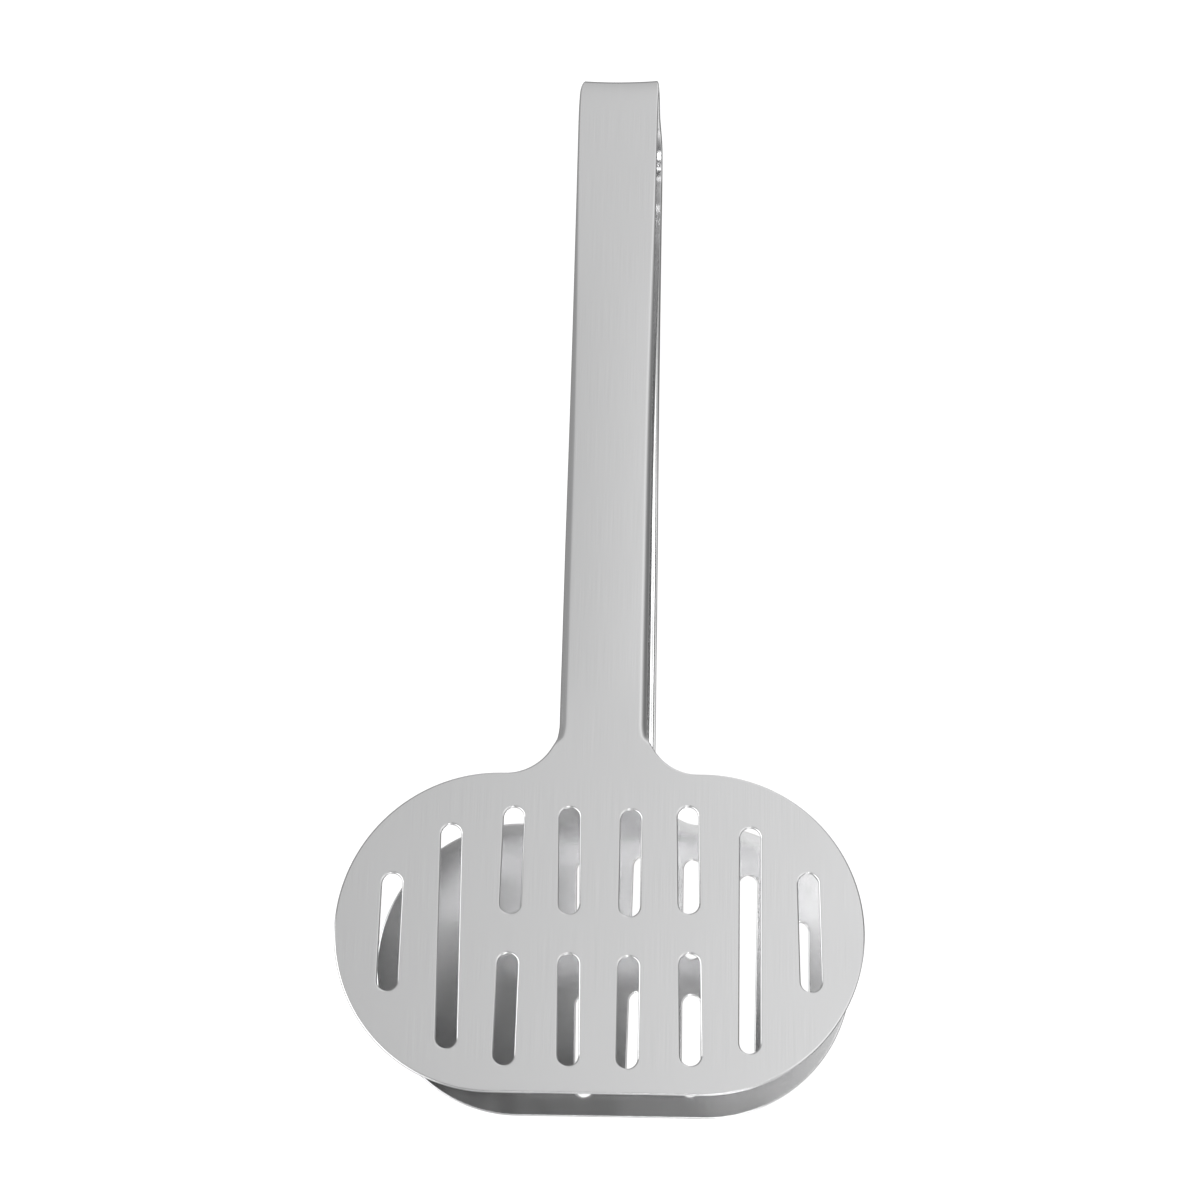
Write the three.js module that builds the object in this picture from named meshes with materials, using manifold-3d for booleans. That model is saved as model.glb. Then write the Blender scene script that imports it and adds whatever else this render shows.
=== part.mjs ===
// One-piece slotted serving tongs, in millimetres, +Z up.
//
// A single strip of stainless sheet: a wide slotted head at each end, a shallow channel-section
// handle behind each head, and a half-round bow in the middle that acts as the spring. The tongs lie
// on the outer face of their rear leaf. +Y points from the heads to the bow, X across the heads, and
// the origin is the middle of the footprint.
//
// Each leaf is drawn flat first: u across it, v from its free edge to the bow, and w inward from its
// outer face. The sheet is cut into five zones with a hair gap between them.

import * as THREE from 'three';
import { mergeVertices } from 'three/addons/utils/BufferGeometryUtils.js';
import Module from 'manifold-3d';

const wasm = await Module();
wasm.setup();

// Sheet and overall layout
const SHEET = 1.0;
const LEAF_LENGTH = 230.5;
const BOW_RADIUS = 19.5;
const OPENING = THREE.MathUtils.degToRad(8);
const ZONE_GAP = 0.3;

// Head: a stadium, its long axis across the tongs
const HEAD_RADIUS = 34.5;
const HEAD_HALF_FLAT = 22.0;
const NECK_FILLET = 11.4;
const NECK_STUB = 1.5;

// Slots: wall to wall, in eight columns about 12.8 apart. A row's centre is measured from the middle of
// the head toward the bow. Each column is [rows, across, shift toward the bow, lean in degrees]; a lean
// tips the bow end of the column toward +u. The punching isn't quite regular, and differs between heads.
const SLOT_WIDTH = 4.4;
const OUTER = [{ centre: 0, length: 25.4 }];
const LONG = [{ centre: 0, length: 48.3 }];
const PAIR = [
  { centre: 15.05, length: 23.4 },
  { centre: -17.05, length: 23.6 },
];
const REAR_COLUMNS = [
  [OUTER, -44.6, -0.4, 0.0],
  [LONG, -31.9, -1.3, 0.0],
  [PAIR, -19.1, -0.2, 0.0],
  [PAIR, -6.45, -1.1, -0.5],
  [PAIR, 6.4, -0.1, 1.2],
  [PAIR, 18.9, -0.65, 0.0],
  [LONG, 31.85, -1.6, 0.9],
  [OUTER, 44.35, -1.1, 0.0],
];
const FRONT_COLUMNS = [
  [OUTER, 44.5, -0.9, 0.0],
  [LONG, 31.85, -1.4, 1.1],
  [PAIR, 18.95, 0.0, -0.4],
  [PAIR, 6.2, 0.05, 1.2],
  [PAIR, -6.65, -0.35, 0.2],
  [PAIR, -19.4, 0.45, 1.35],
  [LONG, -32.3, -1.5, 0.1],
  [OUTER, -44.9, 0.1, 1.5],
];

// Handle: a channel whose lips are deepest at the neck and fade out at the bow
const HANDLE_WIDTH = 19.2;
const CORNER_RADIUS = 1.6;
const LIP_DEPTH_NECK = 2.3;
const LIP_DEPTH_BOW = 1.05;
const LIP_RUN_OUT = 5.0;

// Bow
const BOW_WIDTH = 18.6;

// Facets
const ARC_SEGMENTS = 28;
const SLOT_SEGMENTS = 8;
const CORNER_SEGMENTS = 6;
const BOW_SEGMENTS = 56;

// Worked out from the above
const HEAD_CENTRE = HEAD_RADIUS;
const HEAD_END = 2 * HEAD_RADIUS + NECK_FILLET + NECK_STUB;
const BOW_SWEEP = Math.PI - OPENING;
const HALF_LENGTH = (LEAF_LENGTH + BOW_RADIUS) / 2;
const HALF_HANDLE = HANDLE_WIDTH / 2;

// ---------------------------------------------------------------- solids

function toSolid(geometry) {
  const bare = geometry.clone();
  bare.deleteAttribute('normal');
  bare.deleteAttribute('uv');
  const merged = mergeVertices(bare, 1e-4);
  const mesh = new wasm.Mesh({
    numProp: 3,
    vertProperties: new Float32Array(merged.attributes.position.array),
    triVerts: new Uint32Array(merged.index.array),
  });
  return new wasm.Manifold(mesh);
}

function toGeometry(solid) {
  const mesh = solid.getMesh();
  const geometry = new THREE.BufferGeometry();
  geometry.setAttribute('position', new THREE.BufferAttribute(new Float32Array(mesh.vertProperties), 3));
  geometry.setIndex(new THREE.BufferAttribute(new Uint32Array(mesh.triVerts), 1));
  geometry.computeVertexNormals();
  return geometry;
}

// ---------------------------------------------------------------- head

// A slot with full round ends, along v but for its lean
function slotPath(u, v, length, lean) {
  const r = SLOT_WIDTH / 2;
  const half = length / 2 - r;
  const du = half * Math.sin(lean);
  const dv = half * Math.cos(lean);
  const path = new THREE.Path();
  path.absarc(u + du, v + dv, r, -lean, Math.PI - lean, false);
  path.absarc(u - du, v - dv, r, Math.PI - lean, 2 * Math.PI - lean, false);
  path.closePath();
  return path;
}

// Stadium outline that runs through two fillets into the stub of the handle
function headShape() {
  const top = 2 * HEAD_RADIUS;
  const filletU = HALF_HANDLE + NECK_FILLET;
  const filletV = top + NECK_FILLET;
  const shape = new THREE.Shape();
  shape.moveTo(-HEAD_HALF_FLAT, 0);
  shape.lineTo(HEAD_HALF_FLAT, 0);
  shape.absarc(HEAD_HALF_FLAT, HEAD_CENTRE, HEAD_RADIUS, -Math.PI / 2, Math.PI / 2, false);
  shape.absarc(filletU, filletV, NECK_FILLET, -Math.PI / 2, -Math.PI, true);
  shape.lineTo(HALF_HANDLE, HEAD_END);
  shape.lineTo(-HALF_HANDLE, HEAD_END);
  shape.absarc(-filletU, filletV, NECK_FILLET, 0, -Math.PI / 2, true);
  shape.absarc(-HEAD_HALF_FLAT, HEAD_CENTRE, HEAD_RADIUS, Math.PI / 2, (3 * Math.PI) / 2, false);
  return shape;
}

// Outline and slots get their own number of facets, so the slots are given as ready points
function headGeometry(columns) {
  const outline = new THREE.Shape(headShape().getPoints(ARC_SEGMENTS));
  for (const [rows, across, shift, degrees] of columns) {
    const lean = THREE.MathUtils.degToRad(degrees);
    for (const { centre, length } of rows) {
      const along = centre + shift;
      const slot = slotPath(across + along * Math.tan(lean), HEAD_CENTRE + along, length, lean);
      outline.holes.push(new THREE.Path(slot.getPoints(SLOT_SEGMENTS)));
    }
  }
  return new THREE.ExtrudeGeometry(outline, { depth: SHEET, bevelEnabled: false });
}

// ---------------------------------------------------------------- handle

// Cross-section of the channel with lips of full depth, u across and w inward
function channelShape() {
  const inner = CORNER_RADIUS - SHEET;
  const wall = HALF_HANDLE - SHEET;
  const shape = new THREE.Shape();
  shape.moveTo(-HALF_HANDLE, LIP_DEPTH_NECK);
  shape.absarc(-HALF_HANDLE + CORNER_RADIUS, CORNER_RADIUS, CORNER_RADIUS, Math.PI, 1.5 * Math.PI, false);
  shape.absarc(HALF_HANDLE - CORNER_RADIUS, CORNER_RADIUS, CORNER_RADIUS, 1.5 * Math.PI, 2 * Math.PI, false);
  shape.lineTo(HALF_HANDLE, LIP_DEPTH_NECK);
  shape.lineTo(wall, LIP_DEPTH_NECK);
  shape.absarc(wall - inner, CORNER_RADIUS, inner, 0, -Math.PI / 2, true);
  shape.absarc(-wall + inner, CORNER_RADIUS, inner, -Math.PI / 2, -Math.PI, true);
  shape.lineTo(-wall, LIP_DEPTH_NECK);
  return shape;
}

// Side outline that trims the lips: a short ramp at the neck, then a long taper to the bow
function lipProfile(start, end) {
  const profile = new THREE.Shape();
  profile.moveTo(start, -SHEET);
  profile.lineTo(end, -SHEET);
  profile.lineTo(end, LIP_DEPTH_BOW);
  profile.lineTo(start + LIP_RUN_OUT, LIP_DEPTH_NECK - 0.01);
  profile.lineTo(start, LIP_DEPTH_BOW);
  return profile;
}

function handleGeometry() {
  const start = HEAD_END + ZONE_GAP;
  const end = LEAF_LENGTH - ZONE_GAP / 2;
  const channel = new THREE.ExtrudeGeometry(channelShape(), {
    depth: end - start,
    bevelEnabled: false,
    curveSegments: CORNER_SEGMENTS,
  });
  // The section is drawn in u and w, and its extrusion becomes v
  channel.applyMatrix4(
    new THREE.Matrix4().makeBasis(
      new THREE.Vector3(-1, 0, 0),
      new THREE.Vector3(0, 0, 1),
      new THREE.Vector3(0, 1, 0),
    ),
  );
  channel.translate(0, start, 0);

  const trim = new THREE.ExtrudeGeometry(lipProfile(start - 1, end + 1), {
    depth: 2 * HANDLE_WIDTH,
    bevelEnabled: false,
  });
  trim.applyMatrix4(
    new THREE.Matrix4().makeBasis(
      new THREE.Vector3(0, 1, 0),
      new THREE.Vector3(0, 0, 1),
      new THREE.Vector3(1, 0, 0),
    ),
  );
  trim.translate(-HANDLE_WIDTH, 0, 0);
  return toGeometry(toSolid(channel).intersect(toSolid(trim)));
}

// ---------------------------------------------------------------- bow

// Half-round strip about the bow's own centre, from the rear leaf round to the front leaf
function bowGeometry() {
  const trim = ZONE_GAP / 2 / BOW_RADIUS;
  const from = -Math.PI / 2 + trim;
  const to = -Math.PI / 2 + BOW_SWEEP - trim;
  const profile = new THREE.Shape();
  profile.absarc(0, 0, BOW_RADIUS, from, to, false);
  profile.absarc(0, 0, BOW_RADIUS - SHEET, to, from, true);
  const strip = new THREE.ExtrudeGeometry(profile, {
    depth: BOW_WIDTH,
    bevelEnabled: false,
    curveSegments: BOW_SEGMENTS,
  });
  strip.applyMatrix4(
    new THREE.Matrix4().makeBasis(
      new THREE.Vector3(0, 1, 0),
      new THREE.Vector3(0, 0, 1),
      new THREE.Vector3(1, 0, 0),
    ),
  );
  strip.translate(-BOW_WIDTH / 2, 0, 0);
  return strip;
}

// ---------------------------------------------------------------- assembly

function steel(name, geometry, colour, roughness) {
  const material = new THREE.MeshStandardMaterial({ color: colour, roughness, metalness: 1 });
  const mesh = new THREE.Mesh(geometry, material);
  mesh.name = name;
  return mesh;
}

// The bow's centre carries everything: the rear leaf hangs off it flat on the table, and the front
// leaf is such a leaf turned over about the line that halves the bow.
const tongs = new THREE.Group();
const bowCentre = new THREE.Group();
bowCentre.position.set(0, LEAF_LENGTH - HALF_LENGTH, BOW_RADIUS);
tongs.add(bowCentre);

function leafGroup() {
  const leaf = new THREE.Group();
  leaf.position.set(0, -LEAF_LENGTH, -BOW_RADIUS);
  return leaf;
}

const rearLeaf = leafGroup();
rearLeaf.add(steel('rear_head', headGeometry(REAR_COLUMNS), 0xb9babb, 0.34));
rearLeaf.add(steel('rear_handle', handleGeometry(), 0xb9babb, 0.34));
bowCentre.add(rearLeaf);

const frontSide = new THREE.Group();
const bisector = new THREE.Vector3(0, Math.cos(OPENING / 2), -Math.sin(OPENING / 2));
frontSide.quaternion.setFromAxisAngle(bisector, Math.PI);
const frontLeaf = leafGroup();
frontLeaf.add(steel('front_head', headGeometry(FRONT_COLUMNS), 0xc4c5c6, 0.32));
frontLeaf.add(steel('front_handle', handleGeometry(), 0xc4c5c6, 0.32));
frontSide.add(frontLeaf);
bowCentre.add(frontSide);

bowCentre.add(steel('spring_bow', bowGeometry(), 0xc4c5c6, 0.32));

export default tongs;
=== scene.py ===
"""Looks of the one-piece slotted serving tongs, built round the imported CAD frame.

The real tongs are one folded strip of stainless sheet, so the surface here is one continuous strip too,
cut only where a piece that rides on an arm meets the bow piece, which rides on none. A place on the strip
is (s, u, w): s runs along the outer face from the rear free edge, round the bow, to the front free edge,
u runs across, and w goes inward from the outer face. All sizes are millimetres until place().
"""

import math

import bmesh
import bpy
from mathutils import Matrix, Vector
from mathutils.geometry import delaunay_2d_cdt, intersect_point_line


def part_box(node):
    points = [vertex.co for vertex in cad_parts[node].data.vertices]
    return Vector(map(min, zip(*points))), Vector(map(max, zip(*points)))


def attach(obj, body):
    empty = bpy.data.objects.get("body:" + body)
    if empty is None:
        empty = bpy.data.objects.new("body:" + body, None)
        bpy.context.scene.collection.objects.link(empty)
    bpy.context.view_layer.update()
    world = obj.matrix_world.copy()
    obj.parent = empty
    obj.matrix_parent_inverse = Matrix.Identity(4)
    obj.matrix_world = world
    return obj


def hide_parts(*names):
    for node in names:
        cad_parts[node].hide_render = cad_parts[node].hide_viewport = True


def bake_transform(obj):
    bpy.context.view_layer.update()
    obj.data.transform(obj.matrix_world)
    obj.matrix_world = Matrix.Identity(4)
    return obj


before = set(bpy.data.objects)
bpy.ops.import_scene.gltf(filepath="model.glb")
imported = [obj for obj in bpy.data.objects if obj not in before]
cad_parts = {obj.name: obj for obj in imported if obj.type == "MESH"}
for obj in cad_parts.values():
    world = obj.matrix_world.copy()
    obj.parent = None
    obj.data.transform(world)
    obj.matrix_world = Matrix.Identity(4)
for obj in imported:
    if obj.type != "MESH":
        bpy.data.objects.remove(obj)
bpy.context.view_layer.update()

MM = 0.001

# ---------------------------------------------------------------- sizes, shared with the CAD

LEAF_LENGTH = 230.5
BOW_RADIUS = 19.5
OPENING = math.radians(8)
HEAD_RADIUS = 34.5
HEAD_HALF_FLAT = 22.0
NECK_FILLET = 11.4
SLOT_WIDTH = 4.4
SHEET = (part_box("rear_head")[1].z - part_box("rear_head")[0].z) / MM
HANDLE_HALF = (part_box("rear_handle")[1].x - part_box("rear_handle")[0].x) / MM / 2

# Rows of slots, wall to wall: middle measured from the middle of the head toward the bow, and length
OUTER = [(0, 25.4)]
LONG = [(0, 48.3)]
PAIR = [(15.05, 23.4), (-17.05, 23.6)]
# Columns of slots, as seen from above: rows, X, shift toward the bow, and lean of the bow end to +X
REAR_COLUMNS = [
    (OUTER, -44.6, -0.4, 0.0),
    (LONG, -31.9, -1.3, 0.0),
    (PAIR, -19.1, -0.2, 0.0),
    (PAIR, -6.45, -1.1, -0.5),
    (PAIR, 6.4, -0.1, 1.2),
    (PAIR, 18.9, -0.65, 0.0),
    (LONG, 31.85, -1.6, 0.9),
    (OUTER, 44.35, -1.1, 0.0),
]
FRONT_COLUMNS = [
    (OUTER, -44.5, -0.9, 0.0),
    (LONG, -31.85, -1.4, -1.1),
    (PAIR, -18.95, 0.0, 0.4),
    (PAIR, -6.2, 0.05, -1.2),
    (PAIR, 6.65, -0.35, -0.2),
    (PAIR, 19.4, 0.45, -1.35),
    (LONG, 32.3, -1.5, -0.1),
    (OUTER, 44.9, 0.1, -1.5),
]

# ---------------------------------------------------------------- sizes of the fine shape

EDGE_ROUND = 0.36
LIP_RADIUS = 1.6
LIP_LENGTH_NECK = 2.65
LIP_LENGTH_BOW = 0.35
LIP_GROWTH = 1.1
LIP_FADE_FROM = math.radians(2)
LIP_FADE_TO = math.radians(30)
LIP_BOW_END = math.radians(70)
WEB_CROWN = 0.12
CROWN_FROM_NECK = 14.0
CROWN_FROM_BOW = 10.0
CROWN_GROWTH = 60.0
BOW_WAIST = 0.55
BOW_WAIST_FROM = math.radians(25)
BOW_WAIST_TO = math.radians(58)
BOW_SADDLE = 0.60
BOW_SADDLE_END = math.radians(65)
FLAT_MARGIN = 0.3

# Where the leaf pieces hand over to the bow piece,
# and the steps along the strip
SEAM = 216.0
ROW_STEP = 3.0
ARC_STEP = math.radians(2.5)
BOW_STEP = math.radians(1.5)
SLOT_ARC_STEPS = 14
WEB_COLUMNS = 14
LIP_STEPS = 9
ROUND_STEPS = 5
CORE_GRID = 4.0
GRID_CLEAR = EDGE_ROUND + 2 * FLAT_MARGIN + CORE_GRID / 3
# Mathutils' triangulation: keep only what lies inside the outline, and treat points this near as one
FILL_INSIDE = 1
FILL_TOLERANCE = 1e-5

# ---------------------------------------------------------------- worked out

BOW_SWEEP = math.pi - OPENING
BOW_ARC = BOW_RADIUS * BOW_SWEEP
STRIP_LENGTH = 2 * LEAF_LENGTH + BOW_ARC
HALF_LENGTH = (LEAF_LENGTH + BOW_RADIUS) / 2
HEAD_TOP = 2 * HEAD_RADIUS
NECK_END = HEAD_TOP + NECK_FILLET
MID_RADIUS = LIP_RADIUS - SHEET / 2
BLANK_MIDDLE = 0.5  # where the middle line of the blank lies in the UV square


def smooth(t):
    """Eases from 0 to 1 as t does."""
    t = min(max(t, 0.0), 1.0)
    return t * t * (3 - 2 * t)


# ---------------------------------------------------------------- the strip's shape


def bow_angle(s):
    """Angle from the crown of the bow: 0 there, half of BOW_SWEEP where the leaves start, and growing."""
    return abs(s - STRIP_LENGTH / 2) / BOW_RADIUS


def half_width(s):
    """Half the strip's width over its folded edges, a little less round the bow."""
    share = (bow_angle(s) - BOW_WAIST_FROM) / (BOW_WAIST_TO - BOW_WAIST_FROM)
    return HANDLE_HALF - BOW_WAIST * (1 - smooth(share))


def lip_length(s):
    """Length of sheet that is rolled over at each edge, measured round the middle of the sheet."""
    v = min(s, STRIP_LENGTH - s)
    if v >= LEAF_LENGTH:
        return LIP_LENGTH_BOW * smooth(bow_angle(s) / LIP_BOW_END)
    share = (LEAF_LENGTH - v) / (LEAF_LENGTH - NECK_END)
    return LIP_LENGTH_BOW + (LIP_LENGTH_NECK - LIP_LENGTH_BOW) * min(share, 1.0) ** LIP_GROWTH


def hollow(s, u):
    """How far the web lies inside the true plane or arc: a slight crown on the handles, whose edges
    fall away, and a saddle on the bow, whose middle does."""
    across = (u / HANDLE_HALF) ** 2
    v = min(s, STRIP_LENGTH - s)
    to_bow = LEAF_LENGTH - v
    saddle = BOW_SADDLE * (1 - smooth(bow_angle(s) / BOW_SADDLE_END))
    from_neck = smooth((v - NECK_END) / CROWN_FROM_NECK)
    from_bow = smooth((to_bow - CROWN_FROM_BOW) / CROWN_GROWTH)
    crown = WEB_CROWN * from_neck * from_bow
    return crown * across + saddle * max(0.0, 1 - across)


def place(s, u, w):
    """A point of the strip in the row frame, in metres."""
    centre_y = LEAF_LENGTH - HALF_LENGTH
    if s <= LEAF_LENGTH:
        y, z = s - HALF_LENGTH, w
    elif s < LEAF_LENGTH + BOW_ARC:
        angle = (s - LEAF_LENGTH) / BOW_RADIUS - math.pi / 2
        y = centre_y + (BOW_RADIUS - w) * math.cos(angle)
        z = BOW_RADIUS + (BOW_RADIUS - w) * math.sin(angle)
    else:
        # the rear leaf, mirrored in the plane that halves the bow
        along = STRIP_LENGTH - s - LEAF_LENGTH
        depth = w - BOW_RADIUS
        axis_y, axis_z = math.cos(OPENING / 2), -math.sin(OPENING / 2)
        twice = 2 * (along * axis_y + depth * axis_z)
        y = centre_y + twice * axis_y - along
        z = BOW_RADIUS + twice * axis_z - depth
    return Vector((u, y, z)) * MM


def edge_profile(lip):
    """Points (x, w) from the flat, out over the lip, round the cut edge and back along the inner face.

    x is measured outward from the silhouette of the edge, so it ends at 0 or below.
    """
    turn = min(lip / MID_RADIUS, math.pi / 2)
    to_fold = LIP_RADIUS * math.sin(turn)

    def bend(sigma, h):
        theta = min(max(sigma, 0.0) / MID_RADIUS, math.pi / 2)
        beyond = max(sigma - MID_RADIUS * math.pi / 2, 0.0)
        x = min(sigma, 0.0) + (MID_RADIUS - h) * math.sin(theta)
        w = SHEET / 2 + MID_RADIUS - (MID_RADIUS - h) * math.cos(theta) + beyond
        return (x - to_fold, w)

    last = lip - EDGE_ROUND
    first = min(0.0, last - FLAT_MARGIN)
    face = SHEET / 2
    outer = [(first - FLAT_MARGIN, -face)]
    outer += [(first + (last - first) * k / LIP_STEPS, -face) for k in range(LIP_STEPS)]
    inner = [(sigma, face) for sigma, _ in reversed(outer)]
    rim = []
    for k in range(ROUND_STEPS + 1):
        turn_k = math.pi / 2 * k / ROUND_STEPS
        rim.append((last + EDGE_ROUND * math.sin(turn_k), -face + EDGE_ROUND * (1 - math.cos(turn_k))))
    rim += [(sigma, -h) for sigma, h in reversed(rim)]
    return [bend(sigma, h) for sigma, h in outer + rim + inner]


def run_from_flat(profile):
    """Distance along the sheet from the flat to each point of a profile, and back on the inner face."""
    runs = [0.0]
    for (x0, w0), (x1, w1) in zip(profile, profile[1:]):
        runs.append(runs[-1] + math.hypot(x1 - x0, w1 - w0))
    return [min(run, runs[-1] - run) for run in runs]


def cross_section(s):
    """Closed loop round the sheet at s: u, w, and the distance along the sheet from the web's middle."""
    half = half_width(s)
    profile = edge_profile(lip_length(s))
    core = half + profile[0][0]
    side = [(half + x, w, core + run) for (x, w), run in zip(profile, run_from_flat(profile))]
    web = [core * (2 * k / WEB_COLUMNS - 1) for k in range(1, WEB_COLUMNS)]
    loop = [(u, 0.0, u) for u in web] + side
    loop += [(u, SHEET, u) for u in reversed(web)] + [(-u, w, -run) for u, w, run in reversed(side)]
    return [(u, w + hollow(s, u), run) for u, w, run in loop]


# ---------------------------------------------------------------- mesh building


class Strip:
    """Collects the vertices and faces of one piece of the strip.

    Each vertex also keeps its place on the blank, (across, along), which becomes its UV, so that the
    brushing follows the sheet round the bow and over the lips.
    """

    def __init__(self):
        self.verts = []
        self.blank = []
        self.faces = []
        self.caps = set()

    def vertex(self, s, u, w, blank=None):
        """Adds a point. Its place on the blank is (u, s) unless the sheet is bent there."""
        self.verts.append(place(s, u, w))
        self.blank.append(blank or (u, s))
        return len(self.verts) - 1

    def ring(self, s):
        return [self.vertex(s, u, w, (run, s)) for u, w, run in cross_section(s)]

    def join_rings(self, a, b):
        count = len(a)
        for k in range(count):
            m = (k + 1) % count
            self.faces.append((a[k], a[m], b[m], b[k]))

    def cap(self, ring):
        """Closes an end of the strip with one flat, sharp-edged face."""
        self.caps.add(len(self.faces))
        self.faces.append(tuple(ring))

    def to_object(self, name):
        mesh = bpy.data.meshes.new(name)
        mesh.from_pydata(self.verts, [], self.faces)
        capped = set()
        for face in self.caps:
            capped.update(mesh.polygons[face].edge_keys)
        for polygon in mesh.polygons:
            polygon.use_smooth = polygon.index not in self.caps
        for edge in mesh.edges:
            edge.use_edge_sharp = edge.key in capped
        outward(mesh)
        layer = mesh.uv_layers.new(name="blank")
        for loop in mesh.loops:
            across, along = self.blank[loop.vertex_index]
            layer.data[loop.index].uv = (BLANK_MIDDLE + across / STRIP_LENGTH, along / STRIP_LENGTH)
        piece = bpy.data.objects.new(name, mesh)
        bpy.context.scene.collection.objects.link(piece)
        return piece


def outward(mesh):
    """Turns every face to point out of the sheet."""
    work = bmesh.new()
    work.from_mesh(mesh)
    bmesh.ops.recalc_face_normals(work, faces=work.faces)
    if work.calc_volume(signed=True) < 0:
        bmesh.ops.reverse_faces(work, faces=work.faces)
    work.to_mesh(mesh)
    work.free()


def spread(start, end, step):
    """Evenly spaced values from start to end, at most one step apart."""
    count = max(1, math.ceil(abs(end - start) / step))
    return [start + (end - start) * k / count for k in range(count + 1)]


def head_outline():
    """Right half of the head's edge, from the end of the neck round to the middle of the free edge:
    (u, v, normal u, normal v, lip)."""
    stations = []
    centre = (HANDLE_HALF + NECK_FILLET, NECK_END)
    for turn in spread(0, math.pi / 2, ARC_STEP)[1:]:
        fade = smooth((turn - LIP_FADE_FROM) / (LIP_FADE_TO - LIP_FADE_FROM))
        nu, nv = math.cos(turn), math.sin(turn)
        u, v = centre[0] - NECK_FILLET * nu, centre[1] - NECK_FILLET * nv
        stations.append((u, v, nu, nv, LIP_LENGTH_NECK * (1 - fade)))
    for u in spread(centre[0], HEAD_HALF_FLAT, ROW_STEP)[1:-1]:
        stations.append((u, HEAD_TOP, 0.0, 1.0, 0.0))
    for turn in spread(math.pi / 2, -math.pi / 2, ARC_STEP):
        nu, nv = math.cos(turn), math.sin(turn)
        stations.append((HEAD_HALF_FLAT + HEAD_RADIUS * nu, HEAD_RADIUS + HEAD_RADIUS * nv, nu, nv, 0.0))
    for u in spread(HEAD_HALF_FLAT, 0, ROW_STEP)[1:]:
        stations.append((u, 0.0, 0.0, -1.0, 0.0))
    return stations


def slots_of(columns):
    """Each slot as its two end centres, the one nearer the bow first."""
    slots = []
    for rows, across, shift, degrees in columns:
        lean = math.radians(degrees)
        for row, length in rows:
            along = row + shift
            middle = Vector((across + along * math.tan(lean), HEAD_RADIUS + along))
            half = Vector((math.sin(lean), math.cos(lean))) * (length - SLOT_WIDTH) / 2
            slots.append((middle + half, middle - half))
    return slots


def slot_outline(slot):
    """A slot's wall, with normals that point into the slot."""
    axis = (slot[0] - slot[1]).normalized()
    start = math.atan2(axis.y, axis.x) - math.pi / 2
    stations = []
    for end, half_turn in zip(slot, (0.0, math.pi)):
        for k in range(SLOT_ARC_STEPS + 1):
            turn = start + half_turn + math.pi * k / SLOT_ARC_STEPS
            cu, cv = math.cos(turn), math.sin(turn)
            r = SLOT_WIDTH / 2
            stations.append((end.x + r * cu, end.y + r * cv, -cu, -cv, 0.0))
    return stations


def edge_band(strip, stations, to_s, closed=False, first=None, last=None):
    """Lip or rounded cut edge along a run of stations.

    The first and last columns of vertices may be ones that exist already. Returns the outer and the
    inner vertex where each new column meets the flat, with its (u, v).
    """
    columns = [first] if first else []
    flats = []
    for u, v, nu, nv, lip in stations:
        column = []
        profile = edge_profile(lip)
        start = profile[0][0]
        flats.append((u + nu * start, v + nv * start))
        for (x, w), run in zip(profile, run_from_flat(profile)):
            reach = start + run
            blank = (u + nu * reach, to_s(v + nv * reach))
            column.append(strip.vertex(to_s(v + nv * x), u + nu * x, w, blank))
        columns.append(column)
    if last:
        columns.append(last)
    pairs = list(zip(columns, columns[1:]))
    if closed:
        pairs.append((columns[-1], columns[0]))
    for a, b in pairs:
        for k in range(len(a) - 1):
            strip.faces.append((a[k], b[k], b[k + 1], a[k + 1]))
    made = columns[1 if first else 0 : len(columns) - (1 if last else 0)]
    return [(c[0], c[-1], flat) for c, flat in zip(made, flats)]


def near_slot(spot, slots, margin):
    """Whether a spot of the head is in a slot, or within the margin of its wall."""
    for top, bottom in slots:
        nearest, share = intersect_point_line(spot, top, bottom)
        nearest = top if share < 0 else bottom if share > 1 else nearest
        if (spot - Vector(nearest[:2])).length < SLOT_WIDTH / 2 + margin:
            return True
    return False


def inside_head(u, v, margin):
    """Whether a spot is on the head and further than the margin from its edge."""
    du = max(abs(u) - HEAD_HALF_FLAT, 0.0)
    return math.hypot(du, v - HEAD_RADIUS) < HEAD_RADIUS - margin


def split_neck(ring):
    """The last ring of the handle as its two edges and its (outer, inner) web vertices."""
    edge = len(edge_profile(0.0))
    web = WEB_COLUMNS - 1
    outer_web, right = ring[:web], ring[web : web + edge]
    inner_web = ring[web + edge : 2 * web + edge][::-1]
    left = ring[2 * web + edge :][::-1]
    return left, right, list(zip(outer_web, inner_web))


class Flat:
    """The flat of a head, whose outer and inner faces share one set of triangles."""

    def __init__(self):
        self.spots = []
        self.outer = []
        self.inner = []
        self.hole_of = []
        self.edges = []

    def add(self, spot, outer, inner, hole=None):
        self.spots.append(Vector(spot))
        self.outer.append(outer)
        self.inner.append(inner)
        self.hole_of.append(hole)

    def close_outline(self, start):
        """Joins the spots from start on into one closed outline."""
        count = len(self.spots) - start
        self.edges += [(start + k, start + (k + 1) % count) for k in range(count)]

    def fill(self, strip):
        """Adds the triangles to the strip, leaving the slots open."""
        made = delaunay_2d_cdt(self.spots, self.edges, [], FILL_INSIDE, FILL_TOLERANCE)
        triangles, origin = made[2:4]
        for triangle in triangles:
            a, b, c = (origin[k][0] for k in triangle)
            # a slot's outline is convex, so only a triangle inside it has all its corners on it
            if self.hole_of[a] is not None and self.hole_of[a] == self.hole_of[b] == self.hole_of[c]:
                continue
            strip.faces.append((self.outer[a], self.outer[b], self.outer[c]))
            strip.faces.append((self.inner[c], self.inner[b], self.inner[a]))


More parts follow.
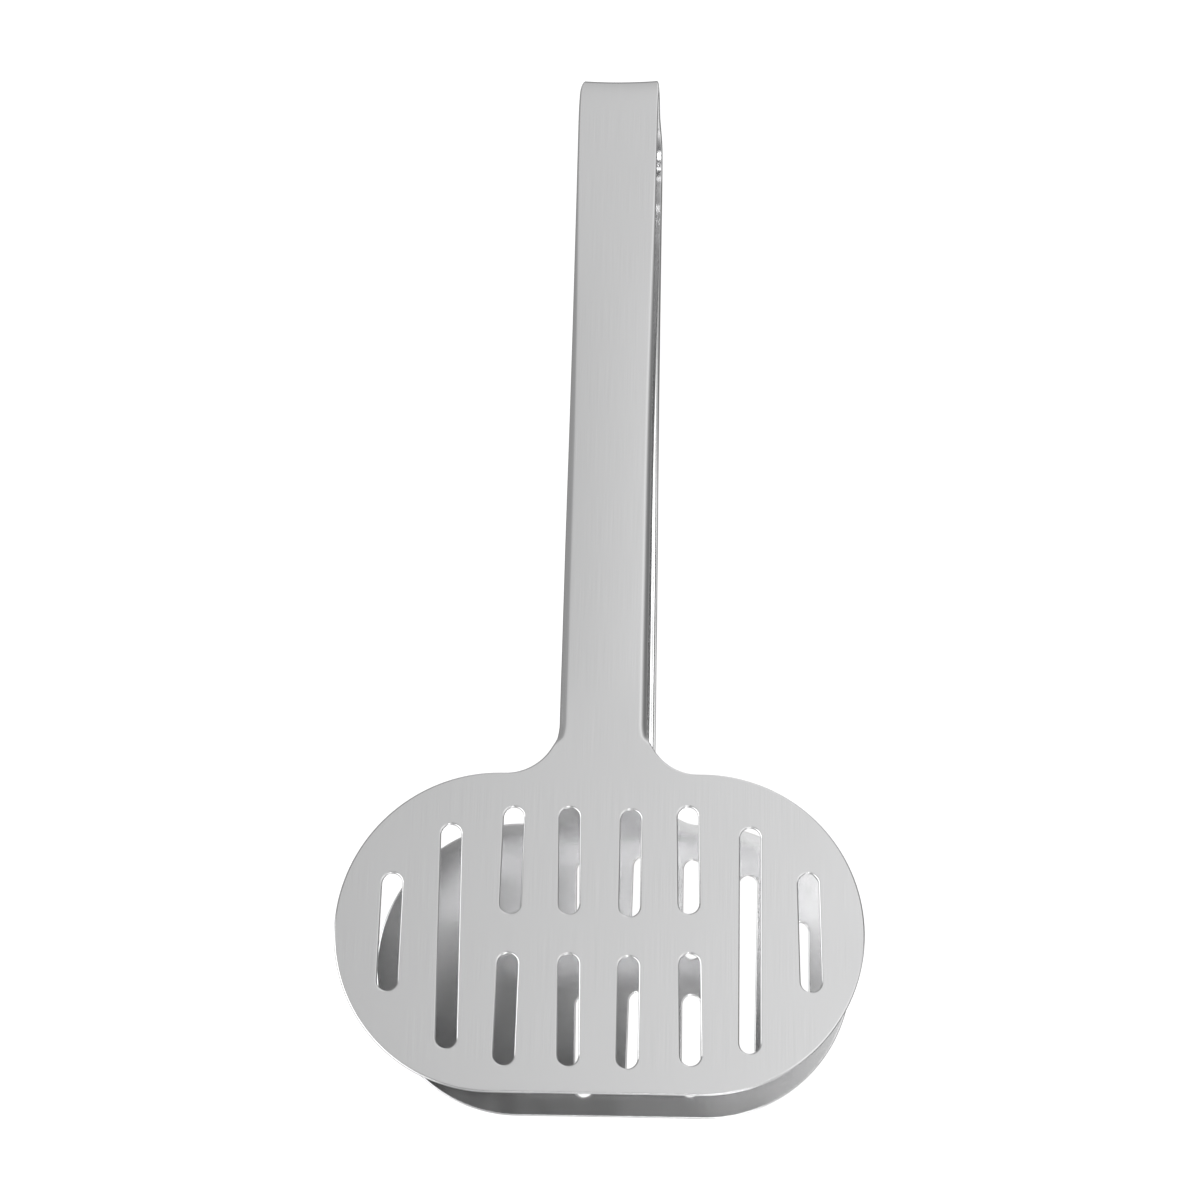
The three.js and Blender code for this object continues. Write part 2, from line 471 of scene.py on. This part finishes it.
def build_handle(strip, to_s):
    """Rings of the handle, from the seam down to the end of the neck. Returns the last one."""
    rings = [strip.ring(to_s(v)) for v in spread(SEAM, NECK_END, ROW_STEP)]
    for a, b in zip(rings, rings[1:]):
        strip.join_rings(a, b)
    strip.cap(rings[0])
    return rings[-1]


def grid_spots(slots):
    """Spots spread over the head, clear of its edge and of the slots."""
    steps = int((HEAD_HALF_FLAT + HEAD_RADIUS) / CORE_GRID)
    for i in range(-steps, steps + 1):
        for j in range(-steps, steps + 1):
            u, v = i * CORE_GRID, HEAD_RADIUS + j * CORE_GRID
            if inside_head(u, v, GRID_CLEAR) and not near_slot(Vector((u, v)), slots, GRID_CLEAR):
                yield u, v


def build_head(strip, to_s, neck, slots):
    """The head, grown from the last ring of the handle: its edge, its slots, then its flat."""
    left, right, web = split_neck(neck)
    half = head_outline()
    mirrored = [(-u, v, -nu, nv, lip) for u, v, nu, nv, lip in reversed(half[:-1])]
    rim = edge_band(strip, half + mirrored, to_s, first=right, last=left)
    walls = [edge_band(strip, slot_outline(slot), to_s, closed=True) for slot in slots]

    flat = Flat()
    core = half_width(to_s(NECK_END)) + edge_profile(LIP_LENGTH_NECK)[0][0]
    flat.add((core, NECK_END), right[0], right[-1])
    for outer, inner, spot in rim:
        flat.add(spot, outer, inner)
    flat.add((-core, NECK_END), left[0], left[-1])
    for k, (outer, inner) in enumerate(web, start=1):
        flat.add((core * (2 * k / WEB_COLUMNS - 1), NECK_END), outer, inner)
    flat.close_outline(0)
    for hole, wall in enumerate(walls):
        start = len(flat.spots)
        for outer, inner, spot in wall:
            flat.add(spot, outer, inner, hole)
        flat.close_outline(start)
    for u, v in grid_spots(slots):
        flat.add((u, v), strip.vertex(to_s(v), u, 0.0), strip.vertex(to_s(v), u, SHEET))
    flat.fill(strip)


def build_leaf(name, front):
    """Head and handle of one leaf, as one piece."""

    def to_s(v):
        return STRIP_LENGTH - v if front else v

    strip = Strip()
    neck = build_handle(strip, to_s)
    build_head(strip, to_s, neck, slots_of(FRONT_COLUMNS if front else REAR_COLUMNS))
    return strip.to_object(name)


def build_bow(name):
    """The bow, with the short stretches of handle up to each seam."""
    strip = Strip()
    stops = spread(SEAM, LEAF_LENGTH, ROW_STEP)[:-1]
    stops += [LEAF_LENGTH + BOW_RADIUS * turn for turn in spread(0, BOW_SWEEP, BOW_STEP)]
    stops += [STRIP_LENGTH - v for v in reversed(spread(SEAM, LEAF_LENGTH, ROW_STEP)[:-1])]
    rings = [strip.ring(s) for s in stops]
    for a, b in zip(rings, rings[1:]):
        strip.join_rings(a, b)
    strip.cap(rings[0])
    strip.cap(rings[-1])
    return strip.to_object(name)


# ---------------------------------------------------------------- materials

STEEL_DARK = 0.68
STEEL_LIGHT = 0.72
STEEL_EDGE = 0.76
STEEL_COOL = 1.006
STEEL_ROUGHNESS = 0.14
STEEL_ROUGHNESS_SPREAD = 0.02
STEEL_ANISOTROPY = 0.9
# Waves of noise per metre across and along the strip, and its detail: fine brushing, and broad clouds
BRUSHING = (9000, 60, 3)
CLOUDS = (60, 30, 2)
NOISE_LOW = 0.3
NOISE_HIGH = 0.7
BUMP_STRENGTH = 0.08
BUMP_DEPTH = 0.00003


class Nodes:
    """Short names for building one node tree."""

    def __init__(self, tree):
        self.tree = tree
        tree.nodes.clear()

    def new(self, kind, **sockets):
        node = self.tree.nodes.new(kind)
        for name, value in sockets.items():
            self.put(node.inputs[name], value)
        return node

    def put(self, socket, value):
        """Links an output to the socket, or sets the socket's own value."""
        if isinstance(value, bpy.types.NodeSocket):
            self.tree.links.new(value, socket)
        else:
            socket.default_value = value

    def maths(self, operation, first, second=0.0):
        node = self.tree.nodes.new("ShaderNodeMath")
        node.operation = operation
        for socket, value in zip(node.inputs, (first, second)):
            self.put(socket, value)
        return node.outputs["Value"]

    def product(self, first, *others):
        for other in others:
            first = self.maths("MULTIPLY", first, other)
        return first

    def remap(self, value, from_min, from_max, to_min, to_max, kind="SMOOTHSTEP"):
        node = self.tree.nodes.new("ShaderNodeMapRange")
        node.interpolation_type = kind
        names = ("From Min", "From Max", "To Min", "To Max")
        for name, number in zip(names, (from_min, from_max, to_min, to_max)):
            node.inputs[name].default_value = number
        self.put(node.inputs["Value"], value)
        return node.outputs["Result"]

    def noise(self, blank, across, along, detail):
        """Noise with the given number of waves per metre of the blank."""
        metres = STRIP_LENGTH * MM
        mapping = self.new("ShaderNodeMapping", Vector=blank)
        mapping.inputs["Scale"].default_value = (across * metres, along * metres, 1)
        texture = self.new("ShaderNodeTexNoise", Vector=mapping.outputs["Vector"])
        texture.inputs["Scale"].default_value = 1.0
        texture.inputs["Detail"].default_value = detail
        return texture.outputs["Fac"]


def steel_colour(nodes, brushing):
    """A grey that varies a little with the brushing."""
    tint = nodes.tree.nodes.new("ShaderNodeMix")
    tint.data_type = "RGBA"
    nodes.put(tint.inputs["Factor"], nodes.remap(brushing, NOISE_LOW, NOISE_HIGH, 0, 1, "LINEAR"))
    for name, grey in (("A", STEEL_DARK), ("B", STEEL_LIGHT)):
        socket = [i for i in tint.inputs if i.name == name and i.type == "RGBA"][0]
        socket.default_value = (grey, grey, grey * STEEL_COOL, 1)
    return [o for o in tint.outputs if o.type == "RGBA"][0]


def steel_material(name):
    """Satin stainless sheet, brushed along the strip, which spreads reflections across it."""
    material = bpy.data.materials.new(name)
    material.use_nodes = True
    nodes = Nodes(material.node_tree)
    output = nodes.new("ShaderNodeOutputMaterial")
    shader = nodes.new("ShaderNodeBsdfPrincipled", Metallic=1.0, Anisotropic=STEEL_ANISOTROPY)
    shader.inputs["Specular Tint"].default_value = (STEEL_EDGE, STEEL_EDGE, STEEL_EDGE, 1)
    nodes.put(output.inputs["Surface"], shader.outputs["BSDF"])

    tangent = nodes.new("ShaderNodeTangent")
    tangent.direction_type = "UV_MAP"
    tangent.uv_map = "blank"
    nodes.put(shader.inputs["Tangent"], tangent.outputs["Tangent"])

    blank = nodes.new("ShaderNodeUVMap")
    blank.uv_map = "blank"
    brushing = nodes.noise(blank.outputs["UV"], *BRUSHING)
    clouds = nodes.noise(blank.outputs["UV"], *CLOUDS)
    nodes.put(shader.inputs["Base Color"], steel_colour(nodes, brushing))

    low = STEEL_ROUGHNESS - STEEL_ROUGHNESS_SPREAD
    high = STEEL_ROUGHNESS + STEEL_ROUGHNESS_SPREAD
    roughness = nodes.remap(clouds, NOISE_LOW, NOISE_HIGH, low, high, "LINEAR")
    nodes.put(shader.inputs["Roughness"], roughness)

    bump = nodes.new("ShaderNodeBump", Strength=BUMP_STRENGTH, Distance=BUMP_DEPTH, Height=brushing)
    nodes.put(shader.inputs["Normal"], bump.outputs["Normal"])
    return material


def floor_material():
    """White light-table: pale, with a glow of its own."""
    material = bpy.data.materials.new("floor_white")
    material.use_nodes = True
    nodes = Nodes(material.node_tree)
    output = nodes.new("ShaderNodeOutputMaterial")
    shader = nodes.new("ShaderNodeBsdfPrincipled", Roughness=FLOOR_ROUGHNESS)
    shader.inputs["Base Color"].default_value = (FLOOR_GREY, FLOOR_GREY, FLOOR_GREY, 1)
    shader.inputs["Emission Color"].default_value = (1, 1, 1, 1)
    shader.inputs["Emission Strength"].default_value = FLOOR_GLOW
    nodes.put(output.inputs["Surface"], shader.outputs["BSDF"])
    return material


# ---------------------------------------------------------------- studio

FLOOR_HALF = 4.0
FLOOR_DROP = 0.0002
FLOOR_ROUGHNESS = 0.9
FLOOR_GLOW = 0.95
FLOOR_GREY = 0.15
CAMERA_AT = (0.0294538, -0.1233072, 0.596276)
CAMERA_TURN = (0.2034, 0.0534, 0.0172)
SENSOR = 36.0
LENS = 2.06939 * SENSOR
CLIP_START = 0.01

# The studio's brightness depends on the direction alone, X to the right, Y toward the bow and Z up.
# A light or a dark patch is a product of soft windows. Each is a pair of limits along one axis: where it
# is shut, then where it is open.

# How bright the studio is, by how far the direction leans to the right (1) or left (-1)
STUDIO_PEAK = 1.64
STUDIO_BY_LEAN = [
    (-1.0, 0.30),
    (-0.8, 0.32),
    (-0.6, 0.33),
    (-0.35, 0.38),
    (-0.2, 0.51),
    (-0.05, 0.61),
    (0.1, 0.88),
    (0.3, 0.86),
    (0.55, 0.47),
    (0.8, 0.22),
    (1.0, 0.15),
]
# It fades a little toward the bow, from the first limit to the second
FADE_ENDS = (0.26, 0.60)
FADE_LEVEL = 0.93
# Overhead, on the near left of a line across DARK_SLANT, it is dark, down to DARK_ENDS_LOW and left to
# DARK_ENDS_LEFT
DARK_LEVEL = 0.03
DARK_SLANT = (0.64, 0.77)
DARK_ENDS = (-0.03, 0.125)
DARK_ENDS_LOW = (0.75, 0.35)
DARK_ENDS_LEFT = (-0.20, -0.50)
# Straight below it is dark too
BELOW_LEVEL = 0.05
BELOW_ENDS = (-0.92, -0.65)
# A narrow bright band, steep above and steep below, that the plates catch through the slots
BAND_LEVELS = (2.4, 11.0)
BAND_STEEP = (0.90, 0.95)
BAND_FRONT = (-0.22, -0.175)
BAND_BACK = (-0.14, -0.18)
# A lamp beyond the free ends of the heads, above and again below
LAMP_LEVELS = (1.7, 11.0)
LAMP_NEAR = (-0.38, -0.45)
LAMP_FAR = (-0.64, -0.54)
LAMP_STEEP = (0.68, 0.80)
# A lamp on the left, from SIDE_LAMPS_LOW up, that the rims of the slots catch
LEFT_LEVEL = 3.2
LEFT_SIDE = (-0.38, -0.52)
LEFT_BACK = (0.36, 0.24)
# and its weaker twin on the right
RIGHT_LEVEL = 1.3
RIGHT_SIDE = (0.38, 0.52)
RIGHT_BACK = (0.27, 0.17)
SIDE_LAMPS_LOW = (0.05, 0.20)
# The band and the lamp beyond the free ends are brighter just right of the middle
BOOST_LEFT = (-0.05, 0.05)
BOOST_RIGHT = (0.22, 0.12)
# A bright panel over the right of the heads
PANEL_LEVEL = 0.6
PANEL_LEFT = (-0.10, 0.04)
PANEL_RIGHT = (0.70, 0.50)
PANEL_BACK = (0.25, 0.13)
PANEL_LOW = (0.25, 0.45)


def make_camera():
    """Looks down on the front leaf from over the heads, tipped a little toward the bow."""
    data = bpy.data.cameras.new("camera")
    data.sensor_width = SENSOR
    data.sensor_fit = "HORIZONTAL"
    data.lens = LENS
    data.clip_start = CLIP_START
    camera = bpy.data.objects.new("camera", data)
    bpy.context.scene.collection.objects.link(camera)
    tip, lean, roll = CAMERA_TURN
    turn = Matrix.Rotation(roll, 4, "Z") @ Matrix.Rotation(lean, 4, "Y")
    turn = turn @ Matrix.Rotation(tip, 4, "X")
    camera.matrix_world = Matrix.Translation(CAMERA_AT) @ turn
    bpy.context.scene.camera = camera


def make_floor():
    """A wide white sheet just under the tongs. Glossy rays pass through it to the studio below."""
    mesh = bpy.data.meshes.new("floor")
    side = FLOOR_HALF
    corners = [(-side, -side, 0), (side, -side, 0), (side, side, 0), (-side, side, 0)]
    mesh.from_pydata(corners, [], [(0, 1, 2, 3)])
    floor = bpy.data.objects.new("floor", mesh)
    floor.location.z = -FLOOR_DROP
    bpy.context.scene.collection.objects.link(floor)
    mesh.materials.append(floor_material())
    floor.visible_glossy = False


class Studio:
    """The parts of the studio's light, each a brightness worked out from the direction."""

    def __init__(self, nodes):
        self.nodes = nodes
        direction = nodes.new("ShaderNodeTexCoord").outputs["Generated"]
        split = nodes.new("ShaderNodeSeparateXYZ", Vector=direction)
        self.axes = {axis: split.outputs[axis] for axis in "XYZ"}
        self.axes["steepness"] = nodes.maths("ABSOLUTE", split.outputs["Z"])

    def window(self, axis, ends):
        """0 where the window is shut and 1 where it is open."""
        shut, wide_open = ends
        return self.nodes.remap(self.axes[axis], shut, wide_open, 0, 1)

    def by_lean(self):
        share = self.nodes.remap(self.axes["X"], -1, 1, 0, 1, "LINEAR")
        ramp = self.nodes.new("ShaderNodeValToRGB", Fac=share)
        ramp.color_ramp.interpolation = "B_SPLINE"
        stops = ramp.color_ramp.elements
        while len(stops) < len(STUDIO_BY_LEAN):
            stops.new(0.5)
        for stop, (lean, level) in zip(stops, STUDIO_BY_LEAN):
            stop.position = (lean + 1) / 2
            stop.color = (level, level, level, 1)
        return ramp.outputs["Color"]

    def open_sky(self):
        """0 in the dark overhead and 1 everywhere else."""
        nodes = self.nodes
        slants = [nodes.maths("MULTIPLY", self.axes[axis], lean) for axis, lean in zip("XY", DARK_SLANT)]
        beyond = nodes.remap(nodes.maths("ADD", *slants), *DARK_ENDS, 0, 1)
        sides = nodes.maths("MAXIMUM", self.window("X", DARK_ENDS_LEFT), self.window("Z", DARK_ENDS_LOW))
        return nodes.maths("MAXIMUM", beyond, sides)

    def room(self):
        """The broad light, with the panel over the right of the heads."""
        nodes = self.nodes
        open_sky = self.open_sky()
        fade = nodes.remap(self.axes["Y"], *FADE_ENDS, 1, FADE_LEVEL)
        overhead = nodes.remap(open_sky, 0, 1, DARK_LEVEL, 1, "LINEAR")
        below = nodes.remap(self.window("Z", BELOW_ENDS), 0, 1, BELOW_LEVEL, 1, "LINEAR")
        broad = nodes.product(self.by_lean(), STUDIO_PEAK, fade, overhead, below)
        across = nodes.product(self.window("X", PANEL_LEFT), self.window("X", PANEL_RIGHT))
        reach = nodes.product(self.window("Y", PANEL_BACK), self.window("Z", PANEL_LOW))
        return nodes.maths("ADD", broad, nodes.product(across, reach, open_sky, PANEL_LEVEL))

    def strip_light(self, steep, near, far, levels):
        """A light across the studio, between two limits in Y, brighter just right of the middle."""
        nodes = self.nodes
        boost = nodes.product(self.window("X", BOOST_LEFT), self.window("X", BOOST_RIGHT))
        level = nodes.remap(boost, 0, 1, *levels, "LINEAR")
        across = nodes.product(self.window("Y", near), self.window("Y", far))
        return nodes.product(self.window("steepness", steep), across, level)

    def side_lamp(self, side, back, level):
        low = self.window("Z", SIDE_LAMPS_LOW)
        return self.nodes.product(self.window("X", side), self.window("Y", back), low, level)

    def strength(self):
        """The room, or a lamp where that is brighter."""
        nodes = self.nodes
        band = self.strip_light(BAND_STEEP, BAND_FRONT, BAND_BACK, BAND_LEVELS)
        lamp = self.strip_light(LAMP_STEEP, LAMP_NEAR, LAMP_FAR, LAMP_LEVELS)
        left = self.side_lamp(LEFT_SIDE, LEFT_BACK, LEFT_LEVEL)
        right = self.side_lamp(RIGHT_SIDE, RIGHT_BACK, RIGHT_LEVEL)
        beside = nodes.maths("ADD", left, right)
        lamps = nodes.maths("MAXIMUM", beside, nodes.maths("MAXIMUM", band, lamp))
        return nodes.maths("MAXIMUM", self.room(), lamps)


def make_world():
    """Soft white studio, brighter on the right, with a dark patch overhead and a few lamps round it."""
    world = bpy.data.worlds.new("studio")
    bpy.context.scene.world = world
    world.use_nodes = True
    nodes = Nodes(world.node_tree)
    output = nodes.new("ShaderNodeOutputWorld")
    background = nodes.new("ShaderNodeBackground")
    nodes.put(output.inputs["Surface"], background.outputs["Background"])
    nodes.put(background.inputs["Strength"], Studio(nodes).strength())


# ---------------------------------------------------------------- assembly

make_camera()
make_floor()
make_world()
bpy.context.scene.view_settings.view_transform = "Standard"

steel = steel_material("satin_stainless")
rear_leaf = build_leaf("rear_leaf", front=False)
front_leaf = build_leaf("front_leaf", front=True)
bow = build_bow("bow")
for piece in (rear_leaf, front_leaf, bow):
    piece.data.materials.append(steel)

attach(rear_leaf, "rear_arm")
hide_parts("rear_head", "rear_handle")
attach(front_leaf, "front_arm")
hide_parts("front_head", "front_handle")
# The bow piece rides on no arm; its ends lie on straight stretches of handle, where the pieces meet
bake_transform(bow)
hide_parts("spring_bow")
